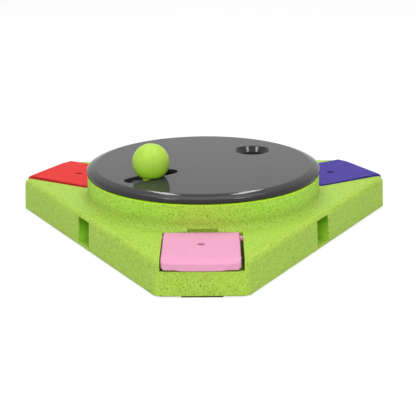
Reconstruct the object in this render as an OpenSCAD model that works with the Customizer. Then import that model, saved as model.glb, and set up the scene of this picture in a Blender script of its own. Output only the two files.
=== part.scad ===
// Dog puzzle toy: a three-cornered base with a spinning disc, a sliding ball knob and three lift-up flaps.
// Millimetres, +Z up. The origin is on the disc's spin axis, at the floor.
// The front flap faces -Y; the other two flaps follow at 120 degree steps.

/* [Base] */
// Drum to each short end face, at the lower rim
end_reach = 67.4; // [64:0.1:75]
// Width of the wall beside each recess, at the end face
cheek = 2.6; // [2.4:0.1:4]
// Lower rim to deck
base_height = 26; // [25:0.5:30]
// How far each wall leans in over the base's height
wall_lean = 1.2; // [0.4:0.1:1.4]
// Radius of the soft edge round the deck
edge_round = 5; // [4:0.5:6]
// Thickness of the outer walls and the deck
wall = 2.5; // [2:0.1:2.6]
// Height of the rubber strips below the lower rim
foot_height = 1.1; // [1:0.1:2]

/* [Drum] */
// Outer radius of the round wall under the disc
drum_r = 94.6; // [93:0.1:94.8]
// Thickness of the round wall
drum_wall = 2.9; // [2.4:0.1:3]
// Height of the round wall above the deck
drum_height = 20.8; // [20.8:0.1:24]
// Hollow radius where the round wall meets the deck
drum_fillet = 6; // [3:0.5:7]
// Width of the shelf that carries the tray, inside the drum
shelf_width = 9.7; // [9.7:0.1:12]
// Thickness of the shelf
shelf_t = 2.4; // [2:0.1:3]
// Deck to the top of the shelf
shelf_rise = 5.3; // [5:0.1:6]

/* [Disc] */
// How far the disc's rim stands out past the drum
rim_overhang = 0.4; // [0.4:0.1:2]
// Gap between the drum's top and the disc's rim
rim_gap = 0.8; // [0.5:0.1:1.5]
// Height of the upright part of the rim
rim_height = 3; // [2.5:0.1:4]
// Thickness of the rim's skirt
rim_wall = 2.4; // [2:0.1:2.6]
// Width of the sloping band inside the rim
bevel_width = 7; // [5:0.5:9]
// Height of the sloping band
bevel_height = 2.7; // [2.7:0.1:3.5]
// Thickness of the disc's plate
plate_t = 3; // [2.5:0.1:3]

/* [Treat hole] */
// Disc's rim to the centre of the treat hole
hole_set_in = 37.8; // [33:0.1:45]
// Direction of the treat hole
hole_angle = 43.7; // [30:1:60]
// Radius of the funnel's mouth
hole_mouth_r = 14.8; // [13:0.1:16]
// Radius of the funnel's throat
hole_throat_r = 11; // [9:0.5:11.5]
// Depth of the funnel's sloping part
funnel_depth = 4.6; // [4:0.1:5]
// Length of the collar below the disc's plate
collar_drop = 4.9; // [4:0.1:4.9]

/* [Knob slot] */
// Disc's rim to the outer end of the slot
slot_set_in = 14.15; // [13:0.05:15.5]
// Direction of the slot
slot_angle = 222.5; // [210:0.5:235]
// Length of the slot, end to end
slot_length = 50.9; // [46:0.1:51]
// Width of the slot
slot_width = 13.7; // [13.7:0.1:15]

/* [Ball knob] */
// Radius of the ball
ball_r = 14.75; // [14:0.05:16]
// Ball's centre above the disc
ball_rise = 11.3; // [11:0.1:12]
// Radius of the neck that runs in the slot
neck_r = 6.65; // [6:0.05:6.65]
// Length of the shoe under the disc
shoe_length = 26; // [24:0.5:26]
// Width of the shoe
shoe_width = 20; // [18:0.5:20]
// Thickness of the shoe
shoe_t = 2.4; // [2:0.1:2.4]

/* [Flaps] */
// Width of a flap
flap_width = 57.2; // [56:0.1:57.4]
// Back wall of the recess to the flap's back edge
flap_back_gap = 1.2; // [1:0.1:2]
// End face to the flap's front face
flap_set_in = 0.7; // [0.5:0.1:2]
// How far the finger tab stands out
tab_out = 2.4; // [1.5:0.1:3]
// Share of the flap's width that the tab takes
tab_share = 0.5; // [0.4:0.05:0.6]
// Thickness of the flap's top
flap_t = 2.4; // [2:0.1:2.4]
// Thickness of the flap's skirt
skirt_t = 2; // [1.8:0.1:2.2]
// Length of the curve over the flap's front edge
nose_run = 8; // [7:0.5:12]
// Height of the curve over the flap's front edge
nose_drop = 3; // [2.4:0.1:3.4]
// Hinge axis to the flap's top
flap_rise = 3.7; // [3.5:0.1:3.9]
// Hinge axis down to the front lip's lower edge
lip_drop = 4.4; // [4.2:0.1:4.5]
// Hinge axis down to the side skirts' lower edge
skirt_drop = 4; // [3.6:0.1:4]
// Angle at which a closed flap slopes up to its front
flap_tilt = 0.8; // [0:0.1:1]
// How far a flap sits to one side of its recess
flap_shift = 0.8; // [0:0.1:0.8]
// Radius of the scent hole in a flap
scent_r = 2.75; // [2:0.05:3]
// Flap's back edge to the scent hole
scent_back = 27; // [20:0.5:40]

/* [Hinges] */
// Flap's back edge to its hinge axis
hinge_back = 6; // [5.5:0.1:6]
// Hinge axis below the deck
hinge_drop = 3; // [3:0.1:3.4]
// Radius of the hinge stubs
stub_r = 2.2; // [2:0.05:2.3]
// Radial clearance round a stub
stub_clear = 0.08; // [0.05:0.01:0.1]

/* [Recesses] */
// Least gap between a flap's side and its recess
flap_gap = 1; // [0.8:0.1:1.2]
// Drum to the back wall of a recess
well_set_out = 2.2; // [2.2:0.1:2.6]
// Deck to the sill at the front of a recess
sill_drop = 7.7; // [7.5:0.1:12]
// Floor of a recess above the lower rim
well_floor_height = 6.1; // [5:0.1:10]
// Thickness of a recess's walls and floor
well_wall = 2.4; // [2:0.1:2.4]
// Width of the notch behind a flap
notch_width = 23; // [18:0.5:26]

/* [Side outlets] */
// Width of an outlet
outlet_width = 20; // [16:0.5:22]
// Outlet's sill above the lower rim
outlet_sill = 2; // [2:0.1:3]
// Deck to an outlet's upper edge
outlet_drop = 3.4; // [3.4:0.1:6]
// Thickness of a chute's walls
chute_wall = 1.8; // [1.5:0.1:2]
// Shelf's inner edge to a chute's inner end
chute_reach = 27; // [24:1:32]
// Height that a chute's floor falls
chute_fall = 9; // [6:0.5:12]

/* [Tray] */
// Thickness of the tray's floor and walls
tray_t = 2.2; // [2:0.1:2.4]
// Height of the tray's ribs above its floor
rib_height = 10.4; // [8:0.1:10.4]
// Radius of the tray's bearing boss
boss_r = 12.5; // [12:0.1:13]
// Radius of the disc's stem
stem_r = 8; // [7.5:0.1:8]
// Radial clearance round the stem
stem_clear = 0.08; // [0.05:0.01:0.1]

/* [Fasteners] */
// Radius of the small screws' shanks
screw_r = 1.45; // [1.4:0.05:1.5]
// Radius of the small screws' heads
screw_head_r = 3.4; // [3:0.1:3.4]
// Height of the small screws' heads
screw_head_t = 1.8; // [1.5:0.1:1.8]
// Radius of the pivot screw's shank
pivot_screw_r = 1.9; // [1.8:0.05:2]
// Radius of the pivot washer
pivot_washer_r = 11.5; // [11:0.1:12]
// Thickness of the pivot washer
pivot_washer_t = 1.2; // [1:0.1:1.5]

/* [Hidden] */
$fn = 72;

// Shared clearances, and the overrun of a cut past the face that it opens
gap = 0.3;
slip = 0.05;
cut = 2;
span = 8 * drum_r;
thirds = [0, 120, 240];

// Heights above the floor
rim_z = foot_height;
deck_z = rim_z + base_height;
deck_under_z = deck_z - wall;
drum_top_z = deck_z + drum_height;
shelf_z = deck_z + shelf_rise;
disc_low_z = drum_top_z + rim_gap;
disc_top_z = disc_low_z + rim_height + bevel_height;
plate_under_z = disc_top_z - plate_t;
well_floor_z = rim_z + well_floor_height;
sill_z = deck_z - sill_drop;
hinge_z = deck_z - hinge_drop;
outlet_low_z = rim_z + outlet_sill;
outlet_high_z = deck_z - outlet_drop;
cover_t = outlet_sill;
cover_top_z = rim_z + cover_t;

// Drum and disc
drum_in_r = drum_r - drum_wall;
shelf_in_r = drum_in_r - shelf_width;
foot_r = drum_r + drum_fillet;
disc_r = drum_r + rim_overhang;
hole_dist = disc_r - hole_set_in;
slot_dist = disc_r - slot_set_in - slot_length / 2;
chute_back = shelf_in_r - chute_reach;

// Plan of the base: the long sides stand at side_dist from the axis, clear of the recesses and of the drum's foot
lean_angle = atan(wall_lean / base_height);
well_half = flap_width / 2 + flap_shift + flap_gap;
end_width = 2 * (well_half + cheek);
end_dist = drum_r + end_reach;
side_dist = max(end_dist / 2 + end_width * sqrt(3) / 4, foot_r + 3 * wall);
round_angles = [22.5, 45, 67.5];

// Tray and pivot
tray_r = drum_in_r - gap - gap / 2;
tray_floor_z = shelf_z + tray_t;
rib_z = tray_floor_z + rib_height;
bearing_t = 1.1;
bearing_in_r = stem_r + gap;
bearing_out_r = boss_r - gap;
hub_r = boss_r + stem_clear;
boss_top_z = tray_floor_z + rib_height + tray_t / 2;
boss_low_z = shelf_z - shelf_t - tray_t / 2;
hub_low_z = boss_top_z + bearing_t;
stem_low_z = boss_low_z - gap;
pivot_head_t = pivot_washer_t * 2;
pivot_head_r = pivot_washer_r / 3;
pivot_depth = 14;
drop_near = chute_back + wall * 2;
drop_length = outlet_width * 1.2;
drop_width = outlet_width * 0.9;

// Knob
slot_r = slot_width / 2;
slot_run = slot_length / 2 - slot_r;
shoe_top_z = plate_under_z - gap;
shoe_low_z = shoe_top_z - shoe_t;
rail_t = 1.6;
ball_z = disc_top_z + ball_rise;

// Recess and flap
well_back = drum_r + well_set_out;
well_front = end_dist - wall_lean - wall;
well_outer = well_half + well_wall;
well_rear = well_back - well_set_out * 0.75;
flap_back = well_back + flap_back_gap;
flap_front = end_dist - flap_set_in;
hinge_dist = flap_back + hinge_back;
scent_dist = flap_back + scent_back;
notch_back = drum_r + slip;
stub_reach = well_half + well_wall * 0.6;
socket_reach = well_half + well_wall * 0.75;
pad_width = well_half - flap_width / 2 + skirt_t;
pad_depth = 10;
flap_half = flap_width / 2;
flap_len = flap_front - hinge_dist;
flap_tail = hinge_back;
tab_half = flap_half * tab_share;
tab_blend = tab_half * 0.4;
corner_r = 3;

// Foot strips, and the block over each one
foot_length = 30;
foot_width = 10;
foot_margin = 1;
foot_out = end_dist - foot_margin;

// Cover screws stand in pairs beside the outlets, and the tray screws in line with the flaps
screw_dist = side_dist - wall * 1.5;
screw_spread = 22;
screw_boss_r = 4.2;
screw_seat_z = cover_top_z + screw_head_t / 2 + cover_t / 2 + gap;
screw_length = 12.5;
screw_clear_r = screw_r + gap;
cup_r = screw_head_r + well_wall;
head_room_r = screw_head_r + gap + slip;
tray_screw_dist = shelf_in_r - screw_boss_r / 2;
tray_boss_low_z = shelf_z - screw_length / 2 - shelf_t;

function arc(x, y, r, from, to, steps) =
    [for (i = [0:steps]) let (a = from + (to - from) * i / steps) [x + r * cos(a), y + r * sin(a)]];

// Keeps everything inside a plane that faces outward, leaning back by the angle given
module keep(dist, z, lean)
    translate([dist, 0, z])
        rotate([0, -lean, 0])
            translate([-span, -span / 2, -span / 2])
                cube([span, span, span]);

// Six leaning walls: the short ends at end_dist, the long sides at side_dist, both set in alike
module six_walls(inset, z, lean)
    for (half = [0])
        intersection_for(turn = thirds) {
            rotate([0, 0, turn])
                intersection() {
                    rotate([0, 0, -90])
                        keep(end_dist - inset, z, lean);
                    rotate([0, 0, 90])
                        keep(side_dist - inset, z, lean);
                }
        }

// The base's outer form, with the soft edge round the deck cut as narrow flats
module outer_form() {
    round_z = deck_z - edge_round;
    round_in = (round_z - rim_z) * tan(lean_angle) + edge_round;
    intersection() {
        translate([-span / 2, -span / 2, rim_z])
            cube([span, span, base_height]);
        six_walls(0, rim_z, lean_angle);
        intersection_for(a = round_angles)
            six_walls(round_in - edge_round * cos(a), round_z + edge_round * sin(a), a);
    }
}

// The hollow under the deck
module inner_form()
    intersection() {
        translate([-span / 2, -span / 2, rim_z - cut])
            cube([span, span, base_height + cut - wall]);
        six_walls(wall, rim_z, lean_angle);
    }

// Section of the round wall, its hollow foot and the shelf inside it
module drum_section()
    polygon(concat(
        [[drum_in_r, deck_under_z], [foot_r, deck_under_z]],
        arc(foot_r, deck_z + drum_fillet, drum_fillet, 270, 180, 6),
        [[drum_r, drum_top_z - gap], [drum_r - gap, drum_top_z], [drum_in_r, drum_top_z],
         [drum_in_r, shelf_z], [shelf_in_r, shelf_z], [shelf_in_r, shelf_z - shelf_t],
         [drum_in_r, shelf_z - shelf_t]]));

module box(x_half, y_near, y_far, z_low, z_high)
    translate([-x_half, y_near, z_low])
        cube([2 * x_half, y_far - y_near, z_high - z_low]);

module at_ends()
    for (turn = thirds)
        rotate([0, 0, turn])
            children();

module at_cover_screws()
    for (turn = thirds, side = [-1, 1])
        rotate([0, 0, turn + side * screw_spread])
            translate([0, screw_dist, 0])
                children();

module at_tray_screws()
    for (turn = thirds)
        rotate([0, 0, turn])
            translate([0, -tray_screw_dist, 0])
                children();

// Foot blocks and screw bosses that hang under the deck
module hanging_parts() {
    at_ends()
        box(foot_length / 2 + foot_margin, -end_dist, -foot_out + foot_width + foot_margin,
            rim_z, well_floor_z - well_wall - slip);
    at_cover_screws()
        translate([0, 0, screw_seat_z])
            cylinder(r = screw_boss_r, h = deck_under_z - screw_seat_z + slip);
}

// Outside of one well, inside the walls of the base
module well_form(grow, z_low, z_high)
    intersection() {
        box(well_outer + grow, -end_dist, -well_rear + grow, z_low, z_high);
        six_walls(wall + slip - grow, rim_z, lean_angle);
    }

// What a flap needs above its well: room over the rim, the open front above the sill, and the notch at its back
module flap_room() {
    box(well_half, -well_front - slip, -well_back, hinge_z, deck_z + drum_fillet + cut);
    box(well_half - gap, -end_dist - cut, -well_front + cut, sill_z, deck_z + cut);
    difference() {
        box(notch_width / 2, -well_back - slip, -drum_r / 2, well_floor_z + hinge_drop * 3,
            deck_z + drum_fillet + slip);
        translate([0, 0, rim_z])
            cylinder(r = notch_back, h = drum_top_z);
    }
}

// Outer moulding: walls and deck, open where the drum and the three wells stand in it
module base_shell()
    color("yellowgreen")
        difference() {
            union() {
                difference() {
                    outer_form();
                    inner_form();
                }
                intersection() {
                    outer_form();
                    hanging_parts();
                }
            }
            translate([0, 0, rim_z])
                cylinder(r = foot_r + slip, h = base_height + cut);
            at_ends() {
                well_form(slip, well_floor_z - well_wall, deck_z + cut);
                flap_room();
                box(outlet_width / 2, side_dist - wall * 2, side_dist + cut, outlet_low_z, outlet_high_z);
            }
            at_cover_screws()
                translate([0, 0, screw_seat_z - cut])
                    cylinder(r = screw_r + slip, h = screw_length + cut);
        }

// Round wall that carries the tray on its shelf and stands in the deck
module drum_ring()
    color("yellowgreen")
        difference() {
            union() {
                rotate_extrude()
                    drum_section();
                at_tray_screws()
                    translate([0, 0, tray_boss_low_z])
                        cylinder(r = screw_boss_r, h = shelf_z - tray_boss_low_z);
            }
            at_ends() {
                well_form(slip, well_floor_z, deck_z + slip);
                flap_room();
                box(outlet_width / 2 + chute_wall + gap, shelf_in_r - cut, drum_in_r - slip,
                    shelf_z - shelf_t - cut, shelf_z + cut);
            }
            at_tray_screws()
                translate([0, 0, tray_boss_low_z - cut])
                    cylinder(r = screw_r + slip, h = shelf_z - tray_boss_low_z + 2 * cut);
        }

// One treat well with its rim flush with the deck, and the two sockets for the flap's stubs
module well() {
    pad_z = hinge_z - skirt_drop + (well_front - pad_depth - hinge_dist) * sin(flap_tilt) - gap;
    difference() {
        well_form(0, well_floor_z - well_wall, deck_z);
        difference() {
            box(well_half, -well_front - cut, -well_back, well_floor_z, deck_z + cut);
            for (side = [-1, 1])
                translate([side * (well_half - pad_width / 2), 0, 0])
                    box(pad_width / 2, -well_front - cut, -well_front + pad_depth, well_floor_z - cut, pad_z);
        }
        intersection() {
            flap_room();
            box(well_half, -well_front, -drum_r / 2, well_floor_z, deck_z + cut);
        }
        translate([-socket_reach, -hinge_dist, hinge_z])
            rotate([0, 90, 0])
                cylinder(r = stub_r + stub_clear, h = 2 * socket_reach);
    }
}

module front_well() color("yellowgreen") well();
module right_well() color("yellowgreen") rotate([0, 0, 120]) well();
module left_well() color("yellowgreen") rotate([0, 0, 240]) well();

// Plate that closes the underside; its middle pad stands on the floor under the pivot
module bottom_cover()
    color("olivedrab")
        difference() {
            union() {
                intersection() {
                    translate([-span / 2, -span / 2, rim_z])
                        cube([span, span, cover_t]);
                    six_walls(wall + gap + wall_lean * cover_t / base_height, rim_z, 0);
                }
                cylinder(r = boss_r, h = rim_z + slip);
                at_cover_screws()
                    translate([0, 0, rim_z])
                        cylinder(r = cup_r, h = screw_seat_z - rim_z);
            }
            at_ends()
                box(foot_length / 2 + foot_margin + gap, -end_dist, -foot_out + foot_width + foot_margin + gap,
                    rim_z - cut, cover_top_z + cut);
            at_cover_screws() {
                translate([0, 0, rim_z - cut])
                    cylinder(r = head_room_r, h = screw_seat_z - cover_t + cut - rim_z + gap);
                translate([0, 0, rim_z])
                    cylinder(r = screw_clear_r, h = screw_seat_z);
            }
        }

// One self-tapping screw, head down or up, seated at z = 0 with its shank along +Z
module screw(shank_r, head_r, head_t, length)
    difference() {
        union() {
            translate([0, 0, -head_t])
                cylinder(r = head_r, h = head_t);
            cylinder(r = shank_r, h = length - shank_r);
            translate([0, 0, length - shank_r])
                cylinder(r1 = shank_r, r2 = shank_r * 0.3, h = shank_r);
        }
        for (turn = [0, 90])
            rotate([0, 0, turn])
                translate([-head_r * 0.6, -head_r * 0.13, -head_t - cut])
                    cube([head_r * 1.2, head_r * 0.26, cut + head_t * 0.45]);
    }

module cover_screws()
    color("silver")
        at_cover_screws()
            translate([0, 0, screw_seat_z - cover_t + gap])
                screw(screw_r, screw_head_r, screw_head_t, screw_length);

module tray_screws()
    color("silver")
        at_tray_screws()
            translate([0, 0, tray_floor_z])
                mirror([0, 0, 1])
                    screw(screw_r, screw_head_r, screw_head_t, tray_floor_z - tray_boss_low_z - gap);

// Dish of treat pockets that drops into the drum and carries the disc's bearing
module treat_tray()
    color("dimgray")
        difference() {
            union() {
                translate([0, 0, shelf_z])
                    cylinder(r = tray_r, h = tray_t);
                for (turn = [0:60:300])
                    rotate([0, 0, turn])
                        translate([stem_r + tray_t, -tray_t / 2, shelf_z])
                            cube([tray_r - stem_r - tray_t * 1.5, tray_t, rib_z - shelf_z]);
                translate([0, 0, boss_low_z])
                    cylinder(r = boss_r, h = boss_top_z - boss_low_z);
            }
            translate([0, 0, boss_low_z - cut])
                cylinder(r = stem_r + stem_clear, h = boss_top_z - boss_low_z + 2 * cut);
            at_ends()
                box(drop_width / 2, drop_near, drop_near + drop_length, shelf_z - cut, tray_floor_z + cut);
            at_tray_screws()
                translate([0, 0, shelf_z - cut])
                    cylinder(r = screw_clear_r, h = tray_t + 2 * cut);
        }

// Trough from the tray's drop hole down to the outlet in the long side
module chute() {
    mouth = side_dist - wall - wall_lean - gap;
    high_end = drum_in_r - gap;
    low_top = deck_under_z - gap;
    high_top = shelf_z - slip;
    floor_low = cover_top_z;
    half = outlet_width / 2 + chute_wall;
    difference() {
        rotate([90, 0, 90])
            translate([0, 0, -half])
                linear_extrude(height = 2 * half)
                    polygon([[chute_back, floor_low], [mouth, floor_low], [mouth, low_top],
                             [high_end, low_top], [high_end, high_top], [chute_back, high_top]]);
        rotate([90, 0, 90])
            translate([0, 0, -outlet_width / 2])
                linear_extrude(height = outlet_width)
                    polygon([[chute_back + chute_wall, floor_low + chute_fall],
                             [mouth + cut, floor_low + chute_wall / 2], [mouth + cut, high_top + cut],
                             [chute_back + chute_wall, high_top + cut]]);
        rotate([90, 0, 90])
            translate([0, 0, -outlet_width / 2])
                linear_extrude(height = outlet_width)
                    polygon([[chute_back + chute_wall, floor_low - cut],
                             [mouth - outlet_width, floor_low - cut],
                             [mouth - outlet_width, floor_low + chute_fall * 0.2],
                             [chute_back + chute_wall, floor_low + chute_fall - chute_wall * 1.3]]);
    }
}

module back_chute() color("yellowgreen") chute();
module left_chute() color("yellowgreen") rotate([0, 0, 120]) chute();
module right_chute() color("yellowgreen") rotate([0, 0, 240]) chute();

// Half of the disc's section, from the stem out to the rim
module disc_section() {
    skirt_in = disc_r - rim_wall;
    inner_r = disc_r - bevel_width;
    round_r = bevel_height;
    polygon(concat(
        [[0, stem_low_z], [stem_r, stem_low_z], [stem_r, hub_low_z], [hub_r, hub_low_z],
         [hub_r, plate_under_z], [skirt_in - rim_wall, plate_under_z], [skirt_in, plate_under_z - rim_wall / 2],
         [skirt_in, disc_low_z], [disc_r, disc_low_z], [disc_r, disc_low_z + rim_height * 0.8]],
        [for (i = [1:7]) let (a = 90 * i / 8)
            [inner_r + bevel_width * cos(a), disc_low_z + rim_height * 0.8
             + (bevel_height + rim_height * 0.2) * sin(a)]],
        [[inner_r, disc_top_z], [0, disc_top_z]]));
}

module slot_plan(r, run, height)
    linear_extrude(height = height)
        union() {
            for (side = [-1, 1])
                translate([side * run, 0])
                    circle(r = r);
            translate([-run, -r])
                square([2 * run, 2 * r]);
        }

module spinner_disc()
    color("dimgray")
        difference() {
            union() {
                rotate_extrude()
                    disc_section();
                rotate([0, 0, hole_angle])
                    translate([hole_dist, 0, plate_under_z - collar_drop])
                        cylinder(r = hole_throat_r + tray_t, h = collar_drop + plate_t / 2);
                rotate([0, 0, slot_angle])
                    for (side = [-1, 1])
                        translate([slot_dist - slot_run - shoe_length / 2,
                                   side * (shoe_width / 2 + gap + rail_t / 2) - rail_t / 2, shoe_low_z])
                            cube([2 * slot_run + shoe_length, rail_t, plate_under_z - shoe_low_z + slip]);
            }
            rotate([0, 0, hole_angle])
                translate([hole_dist, 0, 0]) {
                    translate([0, 0, plate_under_z - collar_drop - cut])
                        cylinder(r = hole_throat_r, h = collar_drop + plate_t + 2 * cut);
                    translate([0, 0, disc_top_z - funnel_depth])
                        cylinder(r1 = hole_throat_r, r2 = hole_mouth_r, h = funnel_depth);
                    translate([0, 0, disc_top_z - slip])
                        cylinder(r = hole_mouth_r, h = cut);
                }
            rotate([0, 0, slot_angle])
                translate([slot_dist, 0, plate_under_z - cut])
                    slot_plan(slot_r, slot_run, plate_t + 2 * cut);
            translate([0, 0, stem_low_z - cut])
                cylinder(r = pivot_screw_r + slip, h = pivot_depth + cut);
        }

module disc_bearing_ring()
    color("ivory")
        translate([0, 0, boss_top_z])
            difference() {
                cylinder(r = bearing_out_r, h = bearing_t);
                translate([0, 0, -cut])
                    cylinder(r = bearing_in_r, h = bearing_t + 2 * cut);
            }

module pivot_washer()
    color("silver")
        translate([0, 0, stem_low_z - pivot_washer_t])
            difference() {
                cylinder(r = pivot_washer_r, h = pivot_washer_t);
                translate([0, 0, -cut])
                    cylinder(r = pivot_screw_r + slip, h = pivot_washer_t + 2 * cut);
            }

module pivot_screw()
    color("silver")
        translate([0, 0, stem_low_z - pivot_washer_t])
            screw(pivot_screw_r, pivot_head_r, pivot_head_t, pivot_depth);

module at_slot_middle()
    rotate([0, 0, slot_angle])
        translate([slot_dist, 0, 0])
            children();

// Ball with a flat underside, on a neck that runs in the slot
module ball_knob()
    color("yellowgreen")
        at_slot_middle()
            difference() {
                union() {
                    intersection() {
                        translate([0, 0, ball_z])
                            sphere(r = ball_r);
                        translate([-ball_r, -ball_r, disc_top_z + gap])
                            cube([2 * ball_r, 2 * ball_r, 2 * ball_r + ball_rise]);
                    }
                    translate([0, 0, shoe_top_z])
                        cylinder(r = neck_r, h = ball_z - shoe_top_z);
                }
                translate([0, 0, shoe_top_z - cut])
                    cylinder(r = screw_r + slip, h = screw_length + cut);
            }

module slider_shoe()
    color("dimgray")
        at_slot_middle()
            difference() {
                translate([-shoe_length / 2, -shoe_width / 2, shoe_low_z])
                    cube([shoe_length, shoe_width, shoe_t]);
                translate([0, 0, shoe_low_z - cut])
                    cylinder(r = screw_r + slip, h = shoe_t + 2 * cut);
            }

module slider_screw()
    color("silver")
        at_slot_middle()
            translate([0, 0, shoe_low_z])
                screw(screw_r, screw_head_r, screw_head_t, screw_length);

// Side view of a flap, closed; y runs back from its hinge axis
module flap_side(front, low)
    polygon(concat(
        [for (i = [0:8]) let (a = 90 * i / 8)
            [-front + nose_run * (1 - cos(a)), flap_rise - nose_drop * (1 - sin(a))]],
        arc(flap_tail - corner_r / 2, flap_rise - corner_r / 2, corner_r / 2, 90, 0, 4),
        [[flap_tail, -skirt_drop + skirt_t / 2], [0, -skirt_drop + skirt_t / 2], [-flap_tail, low],
         [-front, low]]));

module across(width)
    rotate([90, 0, 90])
        translate([0, 0, -width / 2])
            linear_extrude(height = width)
                children();

// Front edge of the finger tab, an S-curve at each end
module tab_plan()
    translate([0, -flap_len - tab_out])
        polygon(concat(
            [[tab_half + tab_blend, flap_len], [-tab_half - tab_blend, flap_len]],
            [for (i = [0:8]) [-tab_half - tab_blend + 2 * tab_blend * i / 8,
                              tab_out * (1 + cos(180 * i / 8)) / 2]],
            [for (i = [0:8]) [tab_half - tab_blend + 2 * tab_blend * i / 8,
                              tab_out * (1 - cos(180 * i / 8)) / 2]]));

module front_corner_plan()
    union() {
        for (side = [-1, 1])
            translate([side * (flap_half - corner_r), -flap_len + corner_r])
                circle(r = corner_r);
        translate([-flap_half + corner_r, -flap_len])
            square([flap_width - 2 * corner_r, flap_len + flap_tail]);
        translate([-flap_half, -flap_len + corner_r])
            square([flap_width, flap_len + flap_tail - corner_r]);
    }

// One flap, moulded with its two hinge stubs, drawn closed about its hinge axis at the front of the toy
module flap()
    translate([0, -hinge_dist, hinge_z])
        rotate([-flap_tilt, 0, 0]) {
            difference() {
                translate([-flap_shift, 0, 0])
                    union() {
                        intersection() {
                            across(flap_width)
                                flap_side(flap_len, -lip_drop);
                            translate([0, 0, -lip_drop - cut])
                                linear_extrude(height = lip_drop + flap_rise + 2 * cut)
                                    front_corner_plan();
                        }
                        intersection() {
                            across(flap_width)
                                flap_side(flap_len + tab_out, -lip_drop);
                            translate([0, 0, -lip_drop - cut])
                                linear_extrude(height = lip_drop + flap_rise + 2 * cut)
                                    tab_plan();
                        }
                    }
                translate([-flap_shift, 0, 0])
                    across(flap_width - 2 * skirt_t)
                        polygon([[-flap_len + flap_t, flap_rise - nose_drop], [-flap_len + nose_run, flap_rise - flap_t],
                                 [flap_tail - skirt_t, flap_rise - flap_t], [flap_tail - skirt_t, -lip_drop - cut],
                                 [-flap_len + flap_t, -lip_drop - cut]]);
                translate([-flap_shift, 0, -lip_drop - cut])
                    mirror([0, 1, 0])
                        translate([-flap_half - cut, -flap_tail - cut, 0])
                            cube([flap_width + 2 * cut, flap_len + flap_tail - flap_t + cut,
                                  lip_drop - skirt_drop + cut]);
                translate([-flap_shift, -(scent_dist - hinge_dist), 0])
                    cylinder(r = scent_r, h = flap_rise + cut);
            }
            for (side = [-1, 1])
                translate([side > 0 ? flap_half - flap_shift - slip : -stub_reach, 0, 0])
                    rotate([0, 90, 0])
                        cylinder(r = stub_r, h = side > 0 ? stub_reach - flap_half + flap_shift + slip
                                                           : stub_reach - flap_half - flap_shift + slip);
        }

module front_flap() color("pink") flap();
module right_flap() color("slateblue") rotate([0, 0, 120]) flap();
module left_flap() color("tomato") rotate([0, 0, 240]) flap();

// Flat rubber strip under one short end
module foot_strip()
    box(foot_length / 2, -foot_out, -foot_out + foot_width, 0, rim_z);

module front_foot() color("dimgray") foot_strip();
module right_foot() color("dimgray") rotate([0, 0, 120]) foot_strip();
module left_foot() color("dimgray") rotate([0, 0, 240]) foot_strip();

base_shell();
drum_ring();
front_well();
left_well();
right_well();
bottom_cover();
treat_tray();
back_chute();
left_chute();
right_chute();
spinner_disc();
disc_bearing_ring();
pivot_washer();
pivot_screw();
ball_knob();
slider_shoe();
slider_screw();
front_flap();
left_flap();
right_flap();
front_foot();
left_foot();
right_foot();
cover_screws();
tray_screws();
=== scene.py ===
import math

import bmesh
import bpy
from mathutils import Matrix, Vector


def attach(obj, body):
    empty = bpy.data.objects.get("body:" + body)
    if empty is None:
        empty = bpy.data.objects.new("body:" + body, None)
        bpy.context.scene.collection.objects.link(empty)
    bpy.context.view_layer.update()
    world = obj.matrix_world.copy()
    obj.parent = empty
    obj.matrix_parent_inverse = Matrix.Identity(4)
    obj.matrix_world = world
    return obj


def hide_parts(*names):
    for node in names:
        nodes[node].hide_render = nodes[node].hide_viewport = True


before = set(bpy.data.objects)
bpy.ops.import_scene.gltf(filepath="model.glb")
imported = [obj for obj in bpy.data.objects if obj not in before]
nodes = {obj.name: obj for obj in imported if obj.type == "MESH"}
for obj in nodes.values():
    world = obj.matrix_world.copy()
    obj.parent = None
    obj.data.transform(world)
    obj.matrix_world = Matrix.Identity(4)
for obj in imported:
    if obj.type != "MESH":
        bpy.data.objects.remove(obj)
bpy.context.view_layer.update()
scene = bpy.context.scene
mm = 0.001


# Camera: a long lens on a stand, a metre in front of the board, looking down on it by about 17 degrees, as the
# photograph was taken.
scene.view_settings.view_transform = "Standard"
camera_data = bpy.data.cameras.new("camera")
camera_data.sensor_width = 36
camera_data.lens = 109.83
camera_data.clip_end = 50
camera = bpy.data.objects.new("camera", camera_data)
right = Vector((0.99995981, 0.00328037, -0.00834356))
up = Vector((0.00696656, 0.30146163, 0.95345286))
turn = Matrix((right, up, right.cross(up))).transposed().to_4x4()
camera.matrix_world = Matrix.Translation((0.009563, -1.000865, 0.332006)) @ turn
scene.collection.objects.link(camera)
scene.camera = camera


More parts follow.
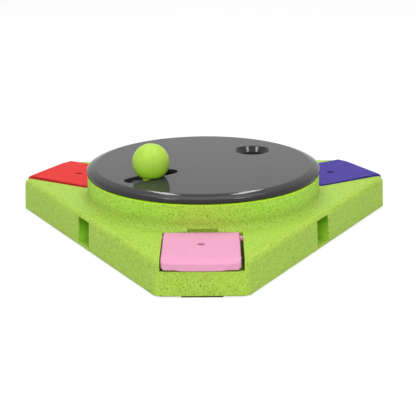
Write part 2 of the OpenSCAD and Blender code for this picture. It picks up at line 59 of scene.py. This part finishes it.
# Studio: a white table and a white backdrop, with a large soft box overhead and one above the camera, which light
# the board together with a dim sky. Two cards behind shine on the disc's rim only, and two in front on its hole.
class Wire:
    """An output of a shader node. Sums, products and comparisons of wires add Math nodes."""

    def __init__(self, tree, socket):
        self.tree, self.socket = tree, socket

    def node(self, kind, settings=None, inputs=None, out=0):
        made = self.tree.nodes.new(kind)
        for key, value in (settings or {}).items():
            setattr(made, key, value)
        for key, value in (inputs or {}).items():
            if isinstance(value, Wire):
                self.tree.links.new(value.socket, made.inputs[key])
            else:
                made.inputs[key].default_value = value
        return Wire(self.tree, made.outputs[out] if len(made.outputs) else None)

    def beside(self, name):
        return Wire(self.tree, self.socket.node.outputs[name])

    def math(self, operation, *values):
        return self.node("ShaderNodeMath", {"operation": operation}, dict(enumerate(values)))

    def __add__(self, other):
        return self.math("ADD", self, other)

    def __mul__(self, other):
        return self.math("MULTIPLY", self, other)

    def __sub__(self, other):
        return self.math("SUBTRACT", self, other)

    def __lt__(self, other):
        return self.math("LESS_THAN", self, other)

    def __gt__(self, other):
        return self.math("GREATER_THAN", self, other)

    def blend(self, a, b):
        """Mixes two colours, the second by as much as this wire says."""
        return self.node("ShaderNodeMix", {"data_type": "RGBA"}, {0: self, 6: a, 7: b}, out=2)

    def ramp(self, low, high):
        """Rises from 0 to 1 while this wire goes from low to high."""
        return self.node("ShaderNodeMapRange", inputs={"Value": self, "From Min": low, "From Max": high})

    def along(self, direction):
        return self.node("ShaderNodeVectorMath", {"operation": "DOT_PRODUCT"}, {0: self, 1: direction}, out=1)


def shading(owner):
    owner.use_nodes = True
    owner.node_tree.nodes.clear()
    return Wire(owner.node_tree, None)


def seen_white(wire):
    """1 where the camera or a gloss looks, which see the full white of the table and the sky, or else 0."""
    rays = wire.node("ShaderNodeLightPath")
    seen = rays.math("MAXIMUM", rays, rays.beside("Is Glossy Ray"))
    return seen, rays


sky_light, table_white, table_glow, table_share = 0.35, 0.9, 1.12, 0.7
world = bpy.data.worlds.new("studio")
scene.world = world
wire = shading(world)
seen, rays = seen_white(wire)
seen = seen.math("MAXIMUM", seen, rays.beside("Is Transmission Ray"))
strength = seen * (1 - sky_light) + sky_light
sky = wire.node("ShaderNodeBackground", inputs={"Color": (1, 1, 1, 1), "Strength": strength})
wire.node("ShaderNodeOutputWorld", inputs={"Surface": sky})

table = bmesh.new()
bmesh.ops.create_grid(table, x_segments=1, y_segments=1, size=4)
table_mesh = bpy.data.meshes.new("table_top")
table.to_mesh(table_mesh)
table.free()
table_top = bpy.data.objects.new("table_top", table_mesh)
scene.collection.objects.link(table_top)
white = bpy.data.materials.new("white_table")
wire = shading(white)
seen, rays = seen_white(wire)
lit = wire.node("ShaderNodeBsdfDiffuse", inputs={"Color": (table_white,) * 3 + (1,)})
plain = wire.node("ShaderNodeEmission", inputs={"Color": (1, 1, 1, 1), "Strength": table_glow})
top = wire.node("ShaderNodeMixShader", inputs={0: seen * table_share, 1: lit, 2: plain})
wire.node("ShaderNodeOutputMaterial", inputs={"Surface": top})
table_mesh.materials.append(white)


def soft_box(name, place, aim, width, height, power, lights=True, shines=True):
    """A lamp with a rectangular face, which can be set to light matt surfaces only, or glossy ones only."""
    lamp = bpy.data.lights.new(name, "AREA")
    lamp.shape, lamp.size, lamp.size_y, lamp.energy = "RECTANGLE", width, height, power
    box = bpy.data.objects.new(name, lamp)
    box.location = place
    box.rotation_euler = (Vector(aim) - Vector(place)).to_track_quat("-Z", "Y").to_euler()
    box.visible_diffuse, box.visible_glossy = lights, shines
    scene.collection.objects.link(box)


soft_box("box_above", (0, 0.1, 1.5), (0, 0, 0), width=1.4, height=1.4, power=20)
soft_box("box_front", (0, -1.3, 0.62), (0, -0.1, 0.03), width=0.9, height=0.35, power=7.8, shines=False)
for name, place in (("card_left", (-0.215, 1.0, 1.12)), ("card_right", (0.22, 1.0, 1.12))):
    soft_box(name, place, (0, 0, 0.05), width=0.1, height=0.3, power=1.25, lights=False)
for name, place in (("strip_left", (-0.56, -0.45, 1.27)), ("strip_right", (0.64, -0.45, 1.27))):
    soft_box(name, place, (0.04, 0.04, 0.05), width=0.28, height=0.4, power=10, lights=False)


# Base: one thick moulding of green plastic filled with ground plant fibre, which shows as brown and dark flecks.
# Walls, deck, round drum, treat wells and outlet tunnels come out of one mould, with soft edges and a light grain.
def base_painted_light(place, tint, mass):
    """Paints light and shade into the base's colour. From 33 mm up the drum is a lighter, greener copy of the
    colour, painted light in place of the shade under the disc's overhang, with a band of painted light at its top
    edge under the disc. The outlets' tunnels are painted darker towards their roof and lighter at their floor."""
    drum_painted_light, drum_painted_light_deep = (0.444, 0.72, 0.087, 1), (0.193, 0.468, 0.015, 1)
    edge_painted_light, floor_painted_light, roof_painted_shade = (0.5, 0.86, 0.03, 1), (0.35, 0.68, 0.045, 1), (0.115, 0.34, 0.004, 1)
    inner_end, outer_end, half_width, tunnel_top = 0.088, 0.1078, 0.0103, 0.0239
    height = place.along((0, 0, 1))
    # Painted light: the drum from 33 mm up gets a lighter, greener colour, in place of the shade under the disc.
    mass = height.ramp(0.033, 0.04).blend(mass, tint.blend(drum_painted_light, drum_painted_light_deep))
    # Painted light: a bright green band at the drum's top edge, under the disc's rim.
    mass = height.ramp(0.0464, 0.0474).blend(mass, edge_painted_light)
    # Painted shade and light: the outlets' tunnels are darker towards their roof and lighter at their floor.
    tunnel_painted_light_and_shade = height.ramp(0.006, 0.02).blend(floor_painted_light, roof_painted_shade)
    for turn in (0, 120, 240):
        side = math.radians(turn)
        out = place.along((-math.sin(side), math.cos(side), 0))
        across = place.along((math.cos(side), math.sin(side), 0))
        within = (out > inner_end) * (out < outer_end) * (height < tunnel_top)
        mass = (within * (across > -half_width) * (across < half_width)).blend(mass, tunnel_painted_light_and_shade)
    return mass


def started(name):
    """A new material, its tree of nodes and the place on the piece in metres."""
    material = bpy.data.materials.new(name)
    wire = shading(material)
    return material, wire, wire.node("ShaderNodeTexCoord", out=3)


def surfaced(wire, inputs):
    body = wire.node("ShaderNodeBsdfPrincipled", inputs=inputs)
    wire.node("ShaderNodeOutputMaterial", inputs={"Surface": body})


def fibre_plastic(name, colour, deep, fleck, speck, roughness, painted_light=None):
    """Plastic with dots of a deeper tone and flecks of fibre, as many and as strong as speck says, and with light
    and shade painted into its colour by the function given, if any.
    """
    material, wire, place = started(name)
    drift = wire.node("ShaderNodeTexNoise", inputs={"Vector": place, "Scale": 800.0, "Detail": 2.0}).beside("Color")
    drift = wire.node("ShaderNodeVectorMath", {"operation": "MULTIPLY_ADD"},
                      {0: drift, 1: (0.0018,) * 3, 2: place})
    fine = wire.node("ShaderNodeTexVoronoi", inputs={"Vector": drift, "Scale": 900.0})
    chance = wire.node("ShaderNodeSeparateColor", inputs={0: fine.beside("Color")})
    dots = (fine < 0.42) * (chance > 0.45)
    coarse = wire.node("ShaderNodeTexVoronoi", inputs={"Vector": drift, "Scale": 430.0})
    chance = wire.node("ShaderNodeSeparateColor", inputs={0: coarse.beside("Color")})
    flakes = (coarse < 0.3) * (chance > 0.74)
    cloud = wire.node("ShaderNodeTexNoise", inputs={"Vector": place, "Scale": 850.0, "Detail": 3.0})
    tint = dots * (0.5 * speck) + (cloud - 0.5) * (2.6 * speck) + 0.1
    mass = tint.blend((*colour, 1), (*deep, 1))
    # Painted light and shade, where a function for it is given.
    if painted_light:
        mass = painted_light(place, tint, mass)
    skin = (flakes * (0.5 * speck)).blend(mass, (*fleck, 1))
    grain = wire.node("ShaderNodeTexNoise", inputs={"Vector": place, "Scale": 1100.0, "Detail": 2.0})
    bump = wire.node("ShaderNodeBump", inputs={"Strength": 0.2, "Distance": 0.0002, "Height": grain + cloud})
    surfaced(wire, {"Base Color": skin, "Roughness": cloud * 0.12 + roughness, "Normal": bump, "IOR": 1.2})
    return material


def merged(shape):
    """Joins corners that touch and turns all faces outward."""
    bmesh.ops.remove_doubles(shape, verts=shape.verts, dist=0.001)
    bmesh.ops.recalc_face_normals(shape, faces=shape.faces)
    return shape


def held(name, shape):
    """Puts a bmesh into an object of its own."""
    mesh = bpy.data.meshes.new(name)
    shape.to_mesh(mesh)
    shape.free()
    piece = bpy.data.objects.new(name, mesh)
    scene.collection.objects.link(piece)
    return piece


def worked(shape, operation, tool):
    """Joins two closed bmeshes, takes the second out of the first, or keeps what they share."""
    piece, cutter = held("work", merged(shape)), held("tool", merged(tool))
    step = piece.modifiers.new("step", "BOOLEAN")
    step.object, step.operation, step.solver = cutter, operation, "EXACT"
    bpy.context.view_layer.update()
    made = bmesh.new()
    made.from_object(piece, bpy.context.evaluated_depsgraph_get())
    for old in (piece, cutter):
        mesh = old.data
        bpy.data.objects.remove(old)
        bpy.data.meshes.remove(mesh)
    return made


def placed(name, shape, body, material):
    """Makes a piece of a bmesh drawn in millimetres, on its body, with its finish."""
    merged(shape)
    bmesh.ops.scale(shape, vec=(mm, mm, mm), verts=shape.verts)
    piece = held(name, shape)
    piece.data.materials.append(material)
    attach(piece, body)
    return piece


def finished(piece, soft_edge, sharp=35.0, segments=3):
    """Rounds the piece's edges a little, as a mould leaves them, and keeps its flat faces looking flat."""
    piece.data.shade_smooth()
    edge = piece.modifiers.new("soft_edge", "BEVEL")
    edge.width, edge.segments, edge.limit_method = soft_edge, segments, "ANGLE"
    edge.angle_limit, edge.use_clamp_overlap = math.radians(sharp), False
    flat = piece.modifiers.new("flat_faces", "WEIGHTED_NORMAL")
    flat.keep_sharp = True


def whole_faces(shape):
    """Joins faces that lie in one plane."""
    bmesh.ops.remove_doubles(shape, verts=shape.verts, dist=0.01)
    bmesh.ops.dissolve_limit(shape, angle_limit=math.radians(0.3), verts=shape.verts, edges=shape.edges)
    return shape


def block(shape, x, y, z, turn=0.0):
    """Adds a block between two x, two y and two z values, turned about the spin axis."""
    lay = Matrix.Rotation(math.radians(turn), 4, "Z")
    lay = lay @ Matrix.Translation((sum(x) / 2, sum(y) / 2, sum(z) / 2))
    lay = lay @ Matrix.Diagonal((x[1] - x[0], y[1] - y[0], z[1] - z[0], 1))
    bmesh.ops.create_cube(shape, size=1, matrix=lay)


def turned(outline, steps=160):
    """A bmesh of an outline of radius and height, turned about the spin axis."""
    shape = bmesh.new()
    line = [shape.verts.new((r, 0, z)) for r, z in outline]
    edges = [shape.edges.new(pair) for pair in zip(line, line[1:])]
    bmesh.ops.spin(shape, geom=line + edges, cent=(0, 0, 0), axis=(0, 0, 1), angle=2 * math.pi, steps=steps,
                   use_merge=True)
    bmesh.ops.remove_doubles(shape, verts=shape.verts, dist=0.001)
    return shape


def bar(outline, start, length, turn=0.0):
    """A bmesh of an outline of y and z, drawn out along x and turned about the spin axis."""
    shape = bmesh.new()
    face = shape.faces.new([shape.verts.new((start, y, z)) for y, z in outline])
    grown = bmesh.ops.extrude_face_region(shape, geom=[face])
    bmesh.ops.translate(shape, verts=[v for v in grown["geom"] if isinstance(v, bmesh.types.BMVert)],
                        vec=(length, 0, 0))
    bmesh.ops.rotate(shape, verts=shape.verts, matrix=Matrix.Rotation(math.radians(turn), 3, "Z"))
    return shape


def hexagon(end, side, corner, low, insets):
    """A solid on a plan of three short ends and three long sides, stepped in and up by the insets given."""
    shape = bmesh.new()
    bmesh.ops.create_circle(shape, cap_ends=True, segments=3, radius=2 * side,
                            matrix=Matrix.Translation((0, 0, low)) @ Matrix.Rotation(math.pi, 4, "Z"))
    cut_off = (2 * side - end) / math.cos(math.radians(30))
    bmesh.ops.bevel(shape, geom=shape.verts[:], offset=cut_off, offset_type="OFFSET", segments=1, profile=0.5,
                    affect="VERTICES", material=-1)
    if corner:
        bmesh.ops.bevel(shape, geom=shape.verts[:], offset=corner * math.tan(math.radians(30)),
                        offset_type="OFFSET", segments=8, profile=0.5, affect="VERTICES", material=-1)
    bmesh.ops.recalc_face_normals(shape, faces=shape.faces)
    face = shape.faces[:][0]
    if face.normal.z < 0:
        bmesh.ops.reverse_faces(shape, faces=[face])
    grown = bmesh.ops.extrude_face_region(shape, geom=[face])
    face = next(f for f in grown["geom"] if isinstance(f, bmesh.types.BMFace))
    bmesh.ops.translate(shape, verts=face.verts, vec=(0, 0, 0.02))
    for inward, upward in insets:
        bmesh.ops.inset_region(shape, faces=[face], thickness=inward, depth=upward, use_even_offset=True)
    return shape


end_dist, side_dist, corner_r, wall = 162, 109.58, 8, 2.5
rim, deck, drum_top, drum_r, drum_in_r = 1.1, 27.1, 47.9, 94.6, 91.7
fillet_r, fillet_z, ring_in_r = 6, 33.07, 85
shelf_in_r, shelf_low, shelf_top = 82, 30, 32.4
well_x, well_back, well_front, well_floor, sill = 30.2, 96.8, 158.3, 7.2, 19.4
outlet_x, outlet_floor, outlet_top = 10, 3.4, 23.7
hinge_y, hinge_z, socket_r, socket_span = -104, 24.1, 2.3, 64.4
lean, soft = 1.2 / 26, 5.0
rise = deck - soft - rim - 0.02
steps = [math.radians(a) for a in range(0, 91, 18)]
rounding = [(soft * (math.cos(a) - math.cos(b)), soft * (math.sin(b) - math.sin(a)))
            for a, b in zip(steps, steps[1:])]
# The base's colour has painted light on the drum, and painted shade and light in the outlet tunnels.
green = fibre_plastic("green_fibre_moulding", (0.415, 0.60, 0.083), (0.18, 0.39, 0.014), (0.21, 0.15, 0.03),
                      speck=1.0, roughness=0.42, painted_light=base_painted_light)
base = hexagon(end_dist, side_dist, corner_r, rim, [(lean * rise, rise)] + rounding)
hollow = hexagon(end_dist - wall, side_dist - wall, 0, rim - 2, [(lean * 25.5, 25.48)])
base = worked(base, "DIFFERENCE", hollow)
foot_arc = [math.radians(a) for a in range(270, 179, -15)]
drum = [(drum_r + fillet_r + fillet_r * math.cos(a), fillet_z + fillet_r * math.sin(a)) for a in foot_arc]
drum = [(ring_in_r, 26), (101.5, 26)] + drum + [(drum_r, drum_top), (ring_in_r, drum_top), (ring_in_r, 26)]
base = worked(base, "UNION", turned(drum))
well_block = ((-32.8, 32.8), (-161, -95.2), (4.8, 26))
foot_block = ((-16, 16), (-161.5, -149), (rim, 6))
tunnel_block = ((-12, 12), (88, 108.5), (1.3, 25.8))
for x, y, z in (well_block, foot_block, tunnel_block):
    inside = bmesh.new()
    for turn in (0, 120, 240):
        block(inside, x, y, z, turn)
    room = hexagon(end_dist - 1, side_dist - 1, corner_r - 1, rim + 0.9, [(lean * 22.7, 22.7)])
    inside = worked(inside, "INTERSECT", room)
    base = worked(base, "UNION", inside)
bore = [(0, 20), (drum_in_r, 20), (drum_in_r, shelf_low), (shelf_in_r, shelf_low), (shelf_in_r, shelf_top),
        (drum_in_r, shelf_top), (drum_in_r, 50), (0, 50)]
base = worked(base, "DIFFERENCE", turned(bore))
well = ((-well_x, well_x), (-well_front, -well_back), (well_floor, 40))
well_mouth = ((-well_x, well_x), (-165, -well_front + 2), (sill, 40))
outlet = ((-outlet_x, outlet_x), (70, 115), (outlet_floor, outlet_top))
for x, y, z in (well, well_mouth, outlet):
    room = bmesh.new()
    for turn in (0, 120, 240):
        block(room, x, y, z, turn)
    base = worked(base, "DIFFERENCE", room)
sockets = bmesh.new()
notches = bmesh.new()
for turn in (0, 120, 240):
    block(notches, (-11.5, 11.5), (-98, -80), (16.2, 29.2), turn)
    stub = Matrix.Rotation(math.radians(turn), 4, "Z") @ Matrix.Translation((0, hinge_y, hinge_z))
    bmesh.ops.create_cone(sockets, cap_ends=True, segments=48, radius1=socket_r, radius2=socket_r,
                          depth=socket_span, matrix=stub @ Matrix.Rotation(math.pi / 2, 4, "Y"))
base = worked(base, "DIFFERENCE", sockets)
drum_core = turned([(0, 0), (drum_r + 0.02, 0), (drum_r + 0.02, 50), (0, 50)])
notches = worked(notches, "DIFFERENCE", drum_core)
base = worked(base, "DIFFERENCE", notches)
base_piece = placed("base_moulding", whole_faces(base), "base", green)
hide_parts("base_shell", "drum_ring", "front_well", "left_well", "right_well")
finished(base_piece, 0.35 * mm, 40.0, 2)


# Chutes: three green moulded troughs with sloping floors. Each slips into a tunnel of the base and leads down
# from the tray to an outlet.
trough_x, trough_in, trough_out, trough_low, trough_top = 11.8, 55, 87.8, 3.1, 32.3
for name, turn in (("back_chute", 0), ("left_chute", 120), ("right_chute", 240)):
    side = [(trough_in, trough_low), (trough_out, trough_low), (trough_out, 24.3), (trough_out, trough_top),
            (trough_in, trough_top)]
    trough = bar(side, -trough_x, 2 * trough_x, turn)
    hollow = bar([(56.8, 12.1), (89, 3.8), (89, 40), (56.8, 40)], -outlet_x, 2 * outlet_x, turn)
    trough = whole_faces(worked(trough, "DIFFERENCE", hollow))
    piece = placed(name + "_trough", trough, "base", green)
    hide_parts(name)
    finished(piece, 0.3 * mm)


# Bottom cover: a flat plate of the same green fibre-filled plastic, which closes the underside and is held by
# six screws.
def dressed(material, *names):
    """Gives solids of the frame their finish."""
    for name in names:
        nodes[name].data.materials.clear()
        nodes[name].data.materials.append(material)


cover_green = fibre_plastic("green_cover_moulding", (0.32, 0.50, 0.06), (0.15, 0.32, 0.01), (0.18, 0.14, 0.03),
                            speck=1.0, roughness=0.5)
dressed(cover_green, "bottom_cover")


# Flaps: three lids of plain coloured plastic, each a thin shell with a finger tab along its front edge, a scent
# hole in its top and two stubs that snap into sockets in the base.
def plain_plastic(name, colour, deep, roughness):
    material, wire, place = started(name)
    cloud = wire.node("ShaderNodeTexNoise", inputs={"Vector": place, "Scale": 60.0, "Detail": 4.0})
    skin = cloud.blend((*colour, 1), (*deep, 1))
    grain = wire.node("ShaderNodeTexNoise", inputs={"Vector": place, "Scale": 1500.0, "Detail": 2.0})
    bump = wire.node("ShaderNodeBump", inputs={"Strength": 0.15, "Distance": 0.0001, "Height": grain})
    surfaced(wire, {"Base Color": skin, "Roughness": cloud * 0.1 + roughness, "Normal": bump, "IOR": 1.2})
    return material


def flap(shift):
    """A lid closed about its hinge axis: a loft across its width, with the tab drawn out of its front lip."""
    half, front, tail, top, lip, skirt, stub_r, stub_reach = 28.6, 57.3, 6.0, 3.7, -4.4, -4.0, 2.2, 31.84
    nose, drop, tab_out, tab_half, tab_wide, blend, corner, skirt_t = 6.8, 3.0, 2.4, 16.5, 25.0, 3.5, 3.0, 2.2
    outline = [(-front, lip + 1.02 * i) for i in range(5)]
    outline += [(-front + nose * i / 8, top - drop * (1 - i / 8) ** 2) for i in range(9)]
    outline += [(-38.0, top), (-12.0, top), (0.0, top), (tail - 1.5, top), (tail - 0.45, top - 0.45),
                (tail, top - 1.5), (tail, -3.0), (0.0, -3.0), (-tail, skirt), (-front + 4.0, skirt),
                (-front + 3.0, lip)]
    stations = [-half + corner * (1 - math.cos(math.radians(a))) for a in range(0, 91, 15)]
    stations += [-half + corner + 1 + 0.9 * i for i in range(16)] + [-6.0, 0.0]
    stations = sorted(stations + [-x for x in stations[:-1]])
    shape = bmesh.new()
    section = shape.faces.new([shape.verts.new((stations[0], y, z)) for y, z in outline])
    for here, there in zip(stations, stations[1:]):
        grown = bmesh.ops.extrude_face_region(shape, geom=[section])
        section = next(f for f in grown["geom"] if isinstance(f, bmesh.types.BMFace))
        bmesh.ops.translate(shape, verts=section.verts, vec=(there - here, 0, 0))
    inner = [f for f in shape.faces if abs(f.normal.x) > 0.9 and abs(abs(f.calc_center_median().x) - half) > 0.1]
    bmesh.ops.delete(shape, geom=inner, context="FACES_ONLY")
    bmesh.ops.recalc_face_normals(shape, faces=shape.faces)
    for v in shape.verts:
        ahead = (-front + nose - v.co.y) / nose
        if ahead > 0.01:
            height = min(1.0, max(0.0, (v.co.z - lip) / (top - drop - lip)))
            wide = tab_half + (tab_wide - tab_half) * height
            away = min(1.0, max(0.0, (wide + blend - abs(v.co.x)) / (2 * blend)))
            side = max(0.0, abs(v.co.x) - half + corner)
            v.co.y -= ahead * tab_out * (1 - math.cos(math.pi * away)) / 2
            away = corner - math.sqrt(corner ** 2 - min(side, corner) ** 2)
            v.co.y += ahead * away
            v.co.z = max(v.co.z, lip + away * 0.9)
    side = [(-front + 2.4, -9.0), (-front + 2.4, top - drop - 1.6), (-front + nose, top - 2.4),
            (tail - 2.0, top - 2.4), (tail - 2.0, -9.0)]
    shape = worked(shape, "DIFFERENCE", bar(side, -half + skirt_t, 2 * (half - skirt_t)))
    bmesh.ops.translate(shape, verts=shape.verts, vec=(shift, 0, 0))
    stubs = bmesh.new()
    for side in (-1, 1):
        near, far = (half - 1) * side + shift, stub_reach * side
        stub = Matrix.Translation(((near + far) / 2, 0, 0)) @ Matrix.Rotation(math.pi / 2, 4, "Y")
        bmesh.ops.create_cone(stubs, cap_ends=True, segments=48, radius1=stub_r, radius2=stub_r,
                              depth=abs(far - near), matrix=stub)
    return worked(shape, "UNION", stubs)


pink = plain_plastic("pink_plastic", (0.76, 0.34, 0.515), (0.70, 0.30, 0.46), 0.5)
red = plain_plastic("red_plastic", (0.72, 0.036, 0.033), (0.65, 0.03, 0.028), 0.6)
blue = plain_plastic("blue_plastic", (0.062, 0.043, 0.30), (0.053, 0.037, 0.265), 0.6)
sideways, tilt, scent_r, scent_y = -0.8, -0.8, 2.75, -22.5
for name, body, slot, around, material in (
        ("front_flap", "front_lid", "pink_plastic", 0, pink),
        ("right_flap", "right_lid", "blue_plastic", 120, blue),
        ("left_flap", "left_lid", "red_plastic", 240, red)):
    lay = Matrix.Rotation(math.radians(around), 4, "Z") @ Matrix.Translation((0, hinge_y, hinge_z))
    lay = lay @ Matrix.Rotation(math.radians(tilt), 4, "X")
    shape = flap(sideways)
    bmesh.ops.transform(shape, matrix=lay, verts=shape.verts)
    punch = bmesh.new()
    hole = lay @ Matrix.Translation((sideways, scent_y, 3))
    bmesh.ops.create_cone(punch, cap_ends=True, segments=64, radius1=scent_r, radius2=scent_r, depth=6, matrix=hole)
    shape = worked(shape, "DIFFERENCE", punch)
    piece = placed(name + "_lid", shape, body, material)
    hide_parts(name)
    finished(piece, 0.6 * mm, 40.0)


# Spinning disc: a polished dark moulding with a turned-down rim, a funnel-shaped treat hole and a radial slot.
# Its stem turns in the tray's boss, and the knob's shoe slides between two rails under the slot.
def grey_polish(name, colour, roughness):
    material, wire, place = started(name)
    cloud = wire.node("ShaderNodeTexNoise", inputs={"Vector": place, "Scale": 35.0, "Detail": 4.0})
    dark = tuple(c * 0.85 for c in colour)
    skin = cloud.blend((*colour, 1), (*dark, 1))
    surfaced(wire, {"Base Color": skin, "Roughness": cloud * 0.03 + roughness, "IOR": 1.22})
    return material


polish = grey_polish("dark_polished_disc", (0.040, 0.0403, 0.0406), 0.03)
low, top, disc_r, under, hub_r, hub_low, stem_r, stem_low = 48.7, 54.4, 95.0, 51.4, 12.58, 47.2, 8.0, 28.7
knob_dist, knob_angle, slide, slot_r = 55.4, 222.5, 18.6, 6.85
hole_dist, hole_angle, mouth_r, throat_r, collar_r, collar_low = 57.2, 43.7, 14.8, 11, 13.2, 46.5
outline = [(0.0, top), (87.7, top), (88.0, top - 0.04), (90.0, top - 0.55), (92.0, top - 1.2), (93.5, top - 1.85),
           (94.4, top - 2.45), (94.85, top - 3.0), (disc_r, top - 3.5), (disc_r, low + 0.3), (94.7, low),
           (92.6, low), (92.6, 50.2), (90.2, under), (hub_r, under), (hub_r, hub_low), (stem_r, hub_low),
           (stem_r, stem_low), (0.0, stem_low)]
disc = turned(outline, 192)
knob_line = Matrix.Rotation(math.radians(knob_angle), 4, "Z") @ Matrix.Translation((knob_dist, 0, 0))
hole_line = Matrix.Rotation(math.radians(hole_angle), 4, "Z") @ Matrix.Translation((hole_dist, 0, 0))
collar = turned([(10, 52.9), (10, collar_low), (collar_r, collar_low), (collar_r, 52.9), (10, 52.9)], 96)
bmesh.ops.transform(collar, matrix=hole_line, verts=collar.verts)
disc = worked(disc, "UNION", collar)
rails = bmesh.new()
for side in (-1, 1):
    block(rails, (-31.6, 31.6), sorted((10.3 * side, 11.9 * side)), (48.7, 52.4))
bmesh.ops.transform(rails, matrix=knob_line, verts=rails.verts)
disc = worked(disc, "UNION", rails)
slot = bmesh.new()
bmesh.ops.create_circle(slot, cap_ends=True, segments=64, radius=slot_r)
for v in slot.verts:
    v.co.x += slide * (1 if v.co.x > 0 else -1)
grown = bmesh.ops.extrude_face_region(slot, geom=slot.faces[:])
bmesh.ops.translate(slot, verts=[v for v in grown["geom"] if isinstance(v, bmesh.types.BMVert)], vec=(0, 0, 8))
bmesh.ops.transform(slot, matrix=knob_line @ Matrix.Translation((0, 0, 49)), verts=slot.verts)
disc = worked(disc, "DIFFERENCE", slot)
funnel = turned([(0, 40), (throat_r, 40), (throat_r, top - 4.6), (14.0, top - 0.7), (mouth_r, top + 0.02),
                 (mouth_r, top + 2), (0, top + 2)], 96)
bmesh.ops.transform(funnel, matrix=hole_line, verts=funnel.verts)
disc = worked(disc, "DIFFERENCE", funnel)
disc_piece = placed("polished_disc", whole_faces(disc), "disc", polish)
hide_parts("spinner_disc")
finished(disc_piece, 0.35 * mm, 30.0)


# Ball knob: a solid moulded ball of finer green fibre plastic, flat underneath, on a round neck that runs in the
# disc's slot and is screwed to the shoe under it.
def knob_painted_light(place, tint, mass):
    """Paints light into the ball's lower half, which turns a brighter, more saturated green towards its underside.
    """
    low_painted_light = (0.45, 0.95, 0.025, 1)
    # Painted light: a brighter green towards the ball's underside.
    return place.along((0, 0, 1)).ramp(0.067, 0.054).blend(mass, low_painted_light)


ball_r, ball_z, flat_z, neck_r, neck_low = 14.75, 65.7, 54.7, 6.65, 51.1
# The knob's colour has painted light on the ball's lower half.
knob_green = fibre_plastic("green_knob_moulding", (0.43, 0.655, 0.08), (0.28, 0.53, 0.014), (0.26, 0.28, 0.02),
                           speck=0.5, roughness=0.34, painted_light=knob_painted_light)
angles = [math.radians(a) for a in range(0, 138, 3)]
outline = [(ball_r * math.sin(a), ball_z + ball_r * math.cos(a)) for a in angles]
outline = [p for p in outline if p[1] > flat_z + 0.05]
outline += [(math.sqrt(ball_r ** 2 - 11.0 ** 2), flat_z), (neck_r, flat_z), (neck_r, neck_low), (0.0, neck_low)]
shape = turned(outline, 96)
bmesh.ops.transform(shape, matrix=knob_line, verts=shape.verts)
ball = placed("ball_and_neck", shape, "knob", knob_green)
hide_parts("ball_knob")
finished(ball, 0.5 * mm, 30.0)


# Tray and shoe: plain dark grey mouldings inside the drum, seen through the disc's hole and slot. The tray is
# screwed to the base from below, and the shoe is screwed to the ball's neck.
dark = plain_plastic("dark_tray_plastic", (0.27, 0.272, 0.274), (0.22, 0.222, 0.224), 0.3)
dressed(dark, "treat_tray", "slider_shoe")


# Foot strips: soft matt rubber, black, cut from sheet and glued flat under a pad at each of the three ends, so
# that the board doesn't slide.
rubber = plain_plastic("foot_rubber", (0.022, 0.022, 0.022), (0.015, 0.015, 0.015), 0.75)
dressed(rubber, "front_foot", "left_foot", "right_foot")


# Screws, washer and bearing ring: turned steel with a zinc plating, and a moulded ring of natural plastic.
# The screws are driven in from below, and the ring lies between the disc's hub and the tray's boss.
def plated(name, colour, dull, roughness):
    material, wire, place = started(name)
    cloud = wire.node("ShaderNodeTexNoise", inputs={"Vector": place, "Scale": 400.0, "Detail": 3.0})
    skin = cloud.blend((*colour, 1), (*dull, 1))
    bump = wire.node("ShaderNodeBump", inputs={"Strength": 0.1, "Distance": 0.0001, "Height": cloud})
    surfaced(wire, {"Base Color": skin, "Metallic": 1.0, "Roughness": cloud * 0.2 + roughness, "Normal": bump})
    return material


steel = plated("zinc_plated_steel", (0.62, 0.62, 0.63), (0.48, 0.48, 0.5), 0.25)
natural = plain_plastic("natural_plastic", (0.72, 0.70, 0.62), (0.62, 0.6, 0.52), 0.45)
dressed(steel, "pivot_washer", "pivot_screw", "slider_screw", "cover_screws", "tray_screws")
dressed(natural, "disc_bearing_ring")
